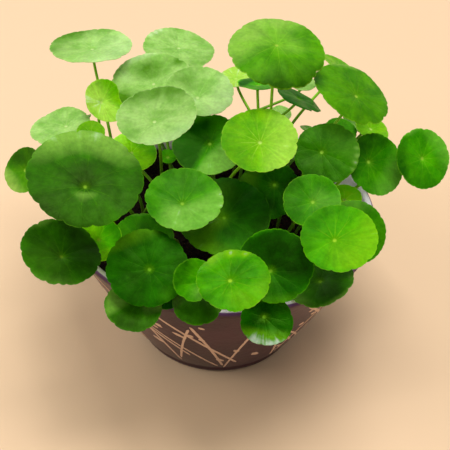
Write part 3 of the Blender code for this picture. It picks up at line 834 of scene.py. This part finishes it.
def edge_radius(leaf, angle):
    """Radius of the edge; the angle counts from the tip of the first lobe."""
    lobe = (1 - abs(math.cos(leaf.lobes * angle / 2))) ** 2
    tooth = 1 - abs(math.cos(TEETH * leaf.lobes * angle / 2))
    notch = leaf.notches[math.floor(angle / 2 / math.pi * leaf.lobes) % leaf.lobes]
    bite = 0.0
    for towards, width, depth in leaf.bites:
        turn = math.remainder(angle + leaf.first_lobe - math.radians(towards), 2 * math.pi)
        bite += depth * math.exp(-(turn / math.radians(width)) ** 2)
    return leaf.radius * (1 - notch * lobe - TOOTH * tooth - bite)


print("first blade's edge:", round(edge_radius(leaves[0], 0) / MM, 1), "mm from its middle")

# %% Surface of a blade
NAVEL_DEPTH = 0.55 * MM
NAVEL_WIDTH = 1.3 * MM
FUNNEL_SPREAD = 3.5  # how much wider the funnel is than the navel
QUILT = 0.012
BUCKLE = 0.35 * MM
BUCKLE_WIDTH = 7 * MM


def bend_height(leaf, x, y):
    """Extra turn-up or turn-down of one side, for the few leaves that have one."""
    rise = 0.0
    for heading, start, size in leaf.bends:
        heading = math.radians(heading)
        reach = (x * math.cos(heading) + y * math.sin(heading)) / leaf.radius
        rise += size * leaf.radius * max(0.0, (reach - start) / (1 - start)) ** 2
    return rise


def surface_height(leaf, x, y, share, angle):
    """Height of the surface above the blade's own flat plane."""
    part = math.hypot(x, y) / leaf.radius
    heading = math.atan2(y, x)
    wave = sum(size * math.cos(count * heading + start) for count, size, start in leaf.waves)
    rise = leaf.radius * (leaf.cup + wave) * part ** 2
    away = (Vector((x, y)) - leaf.navel).length
    rise -= NAVEL_DEPTH * math.exp(-(away / NAVEL_WIDTH) ** 2)
    rise -= NAVEL_DEPTH * math.exp(-(away / NAVEL_WIDTH / FUNNEL_SPREAD) ** 2)
    rise += QUILT * leaf.radius * share ** 1.5 * math.sin(leaf.lobes * angle / 2) ** 2
    rise += BUCKLE * noise.noise(Vector((x, y, leaf.seed)) / BUCKLE_WIDTH) * min(1.0, share * 3)
    return rise + bend_height(leaf, x, y)


def blade_point(leaf, share, angle, lift=0.0):
    """The surface point at a share of the way from the navel to the edge."""
    heading = angle + leaf.first_lobe
    reach = edge_radius(leaf, angle) * share
    x = leaf.navel.x * (1 - share) + reach * math.cos(heading)
    y = leaf.navel.y * (1 - share) + reach * math.sin(heading)
    return leaf.middle + leaf.turn @ Vector((x, y, surface_height(leaf, x, y, share, angle) + lift))


print("first navel:", [round(value / MM) for value in blade_point(leaves[0], 0, 0)])

# %% Painted sheen and shade of a blade
def sheen_and_shade_at(leaf, share, angle):
    """How much painted shade (below 0) or painted sheen (above 0) the blade has at this place."""
    heading = angle + leaf.first_lobe
    amount = 0.0
    for towards, start, end, size in leaf.sides:
        reach = share * math.cos(heading - math.radians(towards))
        part = min(1.0, max(0.0, (reach - start) / (end - start)))
        amount += size * part * part * (3 - 2 * part)
    for towards, reach, spread, size in leaf.patches:
        away = abs(cmath.rect(share, heading) - cmath.rect(reach, math.radians(towards)))
        amount += size * math.exp(-(away / spread) ** 2)
    return amount


print("bloom at the first navel:", round(sheen_and_shade_at(leaves[0], 0, 0), 2))

# %% [markdown]
# ## The green of the leaves
# A blade's colour has layers: a mottled green, a web of fine veins, main veins that run from the navel to
# each lobe and fork twice on the way, the painted shade and painted sheen of the tables above, a pale
# margin that is partly a painted edge highlight, and a yellow navel. Seven greens cover the plant: the pale
# ones are partly painted sheen and the deep ones partly painted shade.

# %% The greens
# Each green: its dark and light mottling, its veins, its painted shade colour and its painted sheen colour,
# its navel, how clearly the veins show, and the tint of its gloss
GREENS = {
    # the pale greens are partly painted sheen and the deep greens partly painted shade
    "pale": (screen(116, 170, 66), screen(162, 204, 110), screen(190, 222, 138), screen(74, 128, 14),
             screen(186, 218, 150), screen(204, 232, 150), 0.16, (0.6, 1.0, 0.35, 1)),
    "lime": (screen(86, 166, 0), screen(128, 198, 4), screen(184, 226, 74), screen(48, 122, 0),
             screen(172, 222, 76), screen(196, 232, 110), 0.24, (0.4, 1.0, 0.1, 1)),
    "fresh": (screen(50, 146, 0), screen(86, 186, 0), screen(156, 216, 30), screen(28, 104, 0),
              screen(136, 208, 14), screen(170, 216, 50), 0.24, (0.3, 1.0, 0.05, 1)),
    "mid": (screen(38, 124, 0), screen(72, 162, 0), screen(124, 190, 34), screen(18, 80, 0),
            screen(134, 200, 74), screen(150, 204, 60), 0.22, (0.4, 1.0, 0.1, 1)),
    "warm": (screen(54, 124, 0), screen(88, 160, 0), screen(138, 190, 38), screen(34, 80, 0),
             screen(158, 200, 84), screen(168, 206, 70), 0.22, (0.4, 1.0, 0.1, 1)),
    "olive": (screen(28, 76, 0), screen(47, 112, 0), screen(82, 146, 8), screen(17, 44, 0),
              screen(124, 174, 62), screen(130, 178, 40), 0.24, (0.4, 1.0, 0.1, 1)),
    "deep": (screen(12, 76, 0), screen(32, 112, 0), screen(70, 146, 4), screen(6, 44, 0),
             screen(98, 164, 14), screen(118, 176, 34), 0.24, (0.3, 1.0, 0.05, 1)),
}
print("greens:", len(GREENS))

# %% [markdown]
# A finish reads what travels with the surface: a flat map of the blade, in which the navel is the middle
# and the edge a circle, and the leaf's own figures, which lie on its points as attributes. Each layer of
# the colour is then a short function that lays itself over the tone it is given.

# %% What a finish knows of a blade
class BladeFacts:
    """Where a point lies on its blade, in millimetres and shares, and the leaf's own figures."""

    def __init__(self, finish):
        flat = finish.vector("SUBTRACT", finish.place("UV"), (0.5, 0.5, 0))
        self.flat = finish.vector("SCALE", flat, scale=2.0)
        self.share = finish.vector("LENGTH", self.flat)
        x, y = finish.parts(self.flat)[:2]
        self.angle = finish.math("ARCTAN2", y, x)
        self.figures = finish.attribute("leaf_facts")
        self.lobes, self.radius, self.bright = finish.parts(self.figures)[:3]
        self.clearer, self.rim, self.gloss = finish.parts(finish.attribute("leaf_marks"))[:3]
        self.away = finish.math("MULTIPLY", self.share, self.radius)


print("a finish reads leaf_facts, leaf_marks and leaf_sheen_shade")

# %% [markdown]
# The vein pattern is drawn by folding space. Taking the absolute value of the distance to a line mirrors
# it, so one line becomes a fork, and doing it again gives four branches. A picture of a leaf would do too,
# but this pattern stays sharp from near by and follows each blade's own lobes.

# %% Veins
VEIN_WIDTH = 0.20  # millimetres at the navel
VEIN_WANDER = 0.16
FORKS = ((0.42, 0.42), (0.70, 0.40))  # where the veins fork, as a share of the way out, and how widely


def vein_lines(finish, blade):
    """0 between the veins and 1 on them."""
    turns = finish.math("MULTIPLY_ADD", blade.angle, finish.math("DIVIDE", blade.lobes, 2 * math.pi), 0.5)
    wander = finish.math("SUBTRACT", finish.noise(6 * MM, 3), 0.5)
    turns = finish.math("MULTIPLY_ADD", wander, VEIN_WANDER, turns)
    side = finish.math("ABSOLUTE", finish.math("SUBTRACT", finish.math("FRACT", turns), 0.5))
    for start, spread in FORKS:
        past = finish.math("MAXIMUM", finish.math("SUBTRACT", blade.share, start), 0.0)
        side = finish.math("SUBTRACT", side, finish.math("MULTIPLY", past, spread))
        side = finish.math("ABSOLUTE", side)
    width = finish.math("MULTIPLY", finish.math("MULTIPLY", side, blade.share), blade.radius)
    width = finish.math("MULTIPLY", finish.math("DIVIDE", width, blade.lobes), 2 * math.pi)
    thick = finish.math("MULTIPLY_ADD", blade.share, -0.6 * VEIN_WIDTH, VEIN_WIDTH)
    return finish.band(finish.math("DIVIDE", width, thick), 0.2, 2.0, 1.0, 0.0)


def lay_veins(finish, blade, tone, veins, vein, clear):
    """Veins that fade towards the edge and here and there on the way."""
    fade = finish.math("MULTIPLY", finish.band(blade.share, 0.05, 0.9, clear, clear * 0.25), blade.clearer)
    fade = finish.math("MULTIPLY", fade, finish.band(finish.noise(4 * MM, 3), 0.35, 0.65, 0.35, 1.2))
    return finish.blend(finish.math("MULTIPLY", veins, fade), tone, vein)


print("forks of a vein:", len(FORKS))

# %% Rays, painted sheen and painted shade
RAY_COUNT = 5  # how close the faint rays lie round the navel
RAY_CONTRAST = 0.06
GRAIN = 0.07  # how much lighter or darker a small fleck is
# the colour of a painted glint, where the painted sheen runs strongest
GLINT_COLOUR = screen(204, 222, 200)


def navel_rays(finish, blade):
    """Faint rays round the navel, from -1 for dark to 1 for light."""
    rays = finish.vector("SCALE", finish.vector("NORMALIZE", blade.flat), scale=RAY_COUNT)
    rays = finish.noise(1.0, 3, where=finish.vector("ADD", rays, blade.figures))
    return finish.band(rays, 0.3, 0.7, -1.0, 1.0)


def lay_sheen_and_shade(finish, tone, rays, shaded, painted_sheen):
    """The painted shade and painted sheen, with a painted glint where the sheen is strongest."""
    patchy = finish.band(finish.noise(5 * MM, 4), 0.25, 0.75, 0.7, 1.2)
    # painted sheen above 0 and painted shade below 0, read from the blade's points
    sheen_shade = finish.math("MULTIPLY", finish.attribute("leaf_sheen_shade", "Fac"), patchy)
    tone = finish.blend(finish.math("MULTIPLY", sheen_shade, -1.0), tone, shaded)
    tone = finish.blend(sheen_shade, tone, painted_sheen)
    # painted glint: near white where painted sheen and rays run past full
    glint = finish.math("MULTIPLY_ADD", rays, 0.45, sheen_shade)
    return finish.blend(finish.band(glint, 1.05, 2.3, 0.0, 0.9), tone, GLINT_COLOUR)


def lay_light(finish, blade, tone, rays):
    """The leaf's lightness, partly its own tone and partly painted light and shade, with its rays and a
    fine grain.
    """
    rays = finish.math("MULTIPLY", finish.math("MULTIPLY", rays, blade.clearer), RAY_CONTRAST)
    rays = finish.math("MULTIPLY", rays, finish.band(blade.share, 0.05, 0.5))
    rays = finish.math("ADD", rays, finish.band(finish.noise(1.3 * MM, 3), 0.3, 0.7, -GRAIN, GRAIN))
    return finish.vector("SCALE", tone, scale=finish.math("MULTIPLY_ADD", rays, blade.bright, blade.bright))


print("frost is", [round(value, 2) for value in GLINT_COLOUR[:3]])

# %% Margin with its painted edge highlight, and navel
HALO = screen(108, 176, 10)


def lay_margin_and_highlight(finish, blade, tone, vein):
    """A thin bright line along the edge, broken here and there: partly the blade's pale margin and partly a
    painted edge highlight.
    """
    # pale margin and painted edge highlight
    margin_and_highlight = finish.band(finish.math("SUBTRACT", blade.radius, blade.away), 0.12, 0.5, 0.3, 0.0)
    margin_and_highlight = finish.math("MULTIPLY", margin_and_highlight, finish.band(finish.noise(3 * MM, 2), 0.35, 0.6, 0.2, 1.3))
    return finish.blend(finish.math("MULTIPLY", margin_and_highlight, blade.rim), tone, vein)


def lay_navel(finish, blade, tone, navel):
    """The pale dot over the stem, with a faint halo."""
    tone = finish.blend(finish.band(blade.away, 0.5, 3.0, 0.25, 0.0), tone, HALO)
    return finish.blend(finish.band(blade.away, 0.3, 1.1, 0.85, 0.0), tone, navel)


print("halo is", [round(value, 2) for value in HALO[:3]])

# %% Leaf finishes
def make_leaf_finish(name, dark, light, vein, shaded, painted_sheen, navel, clear, tint, roughness=0.42,
                     under=False):
    finish = Finish(name, roughness, Subsurface_Weight=0.15, Subsurface_Scale=1.0 * MM,
                    Subsurface_Radius=(0.4, 1.0, 0.12), Specular_Tint=tint, Specular_IOR_Level=0.2)
    blade = BladeFacts(finish)
    veins = vein_lines(finish, blade)
    rays = navel_rays(finish, blade)
    web = finish.band(finish.cells(1.7 * MM), 0.0, 0.12, 1.0, 0.0)
    mottle = finish.band(finish.noise(9 * MM, 5, roughness=0.6), 0.3, 0.7)
    tone = finish.blend(mottle, dark, light)
    tone = finish.blend(finish.math("MULTIPLY", web, 0.12 * clear), tone, vein)
    tone = lay_veins(finish, blade, tone, veins, vein, clear)
    tone = lay_sheen_and_shade(finish, tone, rays, shaded, painted_sheen)
    tone = lay_margin_and_highlight(finish, blade, tone, vein)
    tone = lay_light(finish, blade, tone, rays)
    finish.paint(lay_navel(finish, blade, tone, navel))

    rough = finish.band(finish.noise(3 * MM, 3), 0.3, 0.7, roughness - 0.05, roughness + 0.07)
    rough = finish.math("MULTIPLY_ADD", blade.gloss, -0.22, rough)
    finish.feed(finish.shader.inputs["Roughness"], rough)
    relief = finish.math("MULTIPLY_ADD", veins, 0.8 if under else -0.35, finish.noise(2.2 * MM, 3))
    relief = finish.math("MULTIPLY_ADD", web, 0.3 if under else -0.12, relief)
    finish.bump(relief, 0.07 * MM)
    return finish.material


leaf_tops = {name: make_leaf_finish("leaf_" + name, *tones) for name, tones in GREENS.items()}
leaf_under = make_leaf_finish("leaf_under", screen(112, 158, 66), screen(134, 178, 84),
                              screen(184, 208, 130), screen(84, 128, 40), screen(160, 196, 110),
                              screen(150, 190, 90), 0.8, (1, 1, 1, 1), 0.6, under=True)
print("leaf finishes:", len(leaf_tops) + 1)

# %% [markdown]
# ## The stems
# A stem is a thin fleshy tube, red-brown where it leaves the soil, painted a darker green for the shade of
# the leaves and a fresh green above, made brighter than its own colour as painted light. Its centre line is
# the solid model's: straight up first, then a gentle curve that meets the blade squarely. The root's place
# is read from the solid leaf's lowest points.

# %% Stem finish and path
STEM_RADIUS = 0.75 * MM
STEM_TOP_RADIUS = 0.62 * MM
STEM_DEPTH = 6 * MM
STEM_RISE = 0.5
STEM_ARRIVE = 0.2
STEM_STEPS = 26
STEM_SIDES = 10
SHADE_CLIMB = (72 * MM, 104 * MM)  # between these heights a stem comes out of the plant's shade
EARTH_CLIMB = (58 * MM, 72 * MM)  # and between these it loses the red-brown of its foot

flesh = Finish("leaf_stem", 0.4, Specular_IOR_Level=0.25)
climb = flesh.parts(flesh.place())[2]
# the fresh green is partly painted light, brighter than the stem's own colour against the leaves' shade
stem_tone = flesh.blend(flesh.noise(4 * MM, 3), screen(122, 204, 8), screen(164, 230, 50))
stem_tone = flesh.blend(flesh.band(climb, *SHADE_CLIMB, 0.85, 0.0), stem_tone, screen(62, 112, 10))
stem_tone = flesh.blend(flesh.band(climb, *EARTH_CLIMB, 0.8, 0.0), stem_tone, screen(80, 50, 22))
flesh.paint(stem_tone)
flesh.bump(flesh.noise(0.7 * MM, 2), 0.04 * MM)


def foot_of(node):
    """The middle of a solid leaf's lowest end."""
    places = [vert.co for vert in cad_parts[node].data.vertices]
    lowest = min(place.z for place in places)
    foot = [place for place in places if place.z < lowest + 0.1 * MM]
    return sum(foot, Vector()) / len(foot)


def stem_path(leaf):
    foot = foot_of(leaf.name)
    root = foot + Vector((0, 0, STEM_DEPTH))
    top = blade_point(leaf, 0, 0)
    span = (top - root).length
    second = root + Vector((0, 0, STEM_RISE * span))
    third = top - leaf.normal * (STEM_ARRIVE * span)
    path = [foot]
    for step in range(STEM_STEPS + 1):
        t = step / STEM_STEPS
        s = 1 - t
        path.append(root * s ** 3 + second * 3 * s * s * t + third * 3 * s * t * t + top * t ** 3)
    return path


print("first root:", [round(value / MM) for value in foot_of("leaf_back_01")])

# %% [markdown]
# ## Growing a blade
# A blade starts as a flat disc of rings round its navel: a small circle whose edge is extruded outwards
# again and again. It is given a thin wall while it is still flat, and a copy of the flat shape is kept as
# the map for the veins. Then every point moves to its true place by the leaf's formula. The stem is one
# circle, extruded along its path, with its top sunk into the blade.

# %% Blade
BLADE_THICKNESS = 0.42 * MM
EDGE_THICKNESS = 0.5  # how thin the edge is, as a share of the blade's thickness
SEGMENTS_PER_LOBE = 12
EDGE_START = 0.94  # where the blade starts to thin, as a share of the way out
FLAT_WALL = 0.01
RING_SHARES = (0.03, 0.06, 0.10, 0.15, 0.21, 0.28, 0.36, 0.44, 0.52, 0.60, 0.68, 0.76, 0.83, 0.89, 0.94,
               0.975, 1.0)


def flat_blade(leaf):
    shape = bmesh.new()
    segments = leaf.lobes * SEGMENTS_PER_LOBE
    bmesh.ops.create_circle(shape, cap_ends=True, segments=segments, radius=RING_SHARES[0])
    bmesh.ops.poke(shape, faces=shape.faces)
    for before, share in zip(RING_SHARES, RING_SHARES[1:]):
        rim = [item for item in shape.edges if item.is_boundary]
        for vert in new_verts(bmesh.ops.extrude_edge_only(shape, edges=rim)):
            vert.co *= share / before
    bmesh.ops.recalc_face_normals(shape, faces=shape.faces)
    bmesh.ops.solidify(shape, geom=shape.faces, thickness=FLAT_WALL)
    return shape


def grow_blade(leaf):
    shape = flat_blade(leaf)
    low, high = min(v.co.z for v in shape.verts), max(v.co.z for v in shape.verts)
    middle = (low + high) / 2
    blade_map = shape.loops.layers.uv.new("blade")
    facts = shape.verts.layers.float_vector.new("leaf_facts")
    marks = shape.verts.layers.float_vector.new("leaf_marks")
    # painted sheen and painted shade at each point of the blade
    sheen_shade = shape.verts.layers.float.new("leaf_sheen_shade")
    bmesh.ops.recalc_face_normals(shape, faces=shape.faces)
    for face in shape.faces:
        face.material_index = 1 if face.normal.z < -0.5 else 0
        for loop in face.loops:
            loop[blade_map].uv = (0.5 + loop.vert.co.x / 2, 0.5 + loop.vert.co.y / 2)
    for vert in shape.verts:
        share = math.hypot(vert.co.x, vert.co.y)
        angle = math.atan2(vert.co.y, vert.co.x)
        thin = 1 - (1 - EDGE_THICKNESS) * max(0.0, (share - EDGE_START) / (1 - EDGE_START))
        side = 1 if vert.co.z > middle else -1
        # the last figure is the blade's lightness, partly painted light and shade
        vert[facts] = (leaf.lobes, leaf.radius / MM, leaf.light)
        vert[marks] = leaf.marks
        vert[sheen_shade] = sheen_and_shade_at(leaf, share, angle)
        vert.co = blade_point(leaf, share, angle, side * thin * BLADE_THICKNESS / 2)
    return shape


print("rings in a blade:", len(RING_SHARES))

# %% Stem
FLARE = 0.35  # how much wider the stem is where it meets the blade
FLARE_START = 0.93


def ring_corners(radius):
    turns = [2 * math.pi * side / STEM_SIDES for side in range(STEM_SIDES)]
    return [Vector((radius * math.cos(turn), radius * math.sin(turn), 0)) for turn in turns]


def grow_stem(shape, leaf):
    path = stem_path(leaf)
    bottom = bmesh.ops.create_circle(shape, cap_ends=True, segments=STEM_SIDES, radius=STEM_RADIUS,
                                     matrix=Matrix.Translation(path[0]))["verts"]
    rim = list({item for vert in bottom for item in vert.link_edges})
    start = set(bottom)
    for step, (before, place) in enumerate(zip(path, path[1:]), 1):
        grown = bmesh.ops.extrude_edge_only(shape, edges=rim)
        verts = new_verts(grown)
        ahead = path[min(step + 1, len(path) - 1)] - path[step - 1]
        tilt = Vector((0, 0, 1)).rotation_difference(ahead).to_matrix()
        share = step / (len(path) - 1)
        radius = STEM_RADIUS + (STEM_TOP_RADIUS - STEM_RADIUS) * share
        radius *= 1 + FLARE * max(0.0, (share - FLARE_START) / (1 - FLARE_START))
        for vert, corner in zip(verts, ring_corners(radius)):
            vert.co = place + tilt @ corner
        rim = [item for item in grown["geom"] if isinstance(item, bmesh.types.BMEdge)
               and all(vert in verts for vert in item.verts)]
        start.update(verts)
    bmesh.ops.contextual_create(shape, geom=rim)
    faces = {face for vert in start for face in vert.link_faces}
    bmesh.ops.recalc_face_normals(shape, faces=list(faces))
    for face in faces:
        face.material_index = 2


print("corners of a stem:", len(ring_corners(STEM_RADIUS)))

# %% Grow the plant
for leaf in leaves:
    shape = grow_blade(leaf)
    grow_stem(shape, leaf)
    finish_piece(leaf.name + "_grown", shape, [leaf_tops[leaf.tone], leaf_under, flesh.material],
                 [leaf.name], sharp=70)
print("leaf triangles:", sum(count for name, count in made_triangles.items() if name.startswith("leaf")))

# %% [markdown]
# ## Sizes
# The last line counts the triangles of all the new pieces. The dressed plant has to fill the same box as
# the solid model.

# %% Sizes
print("triangles:", sum(made_triangles.values()))
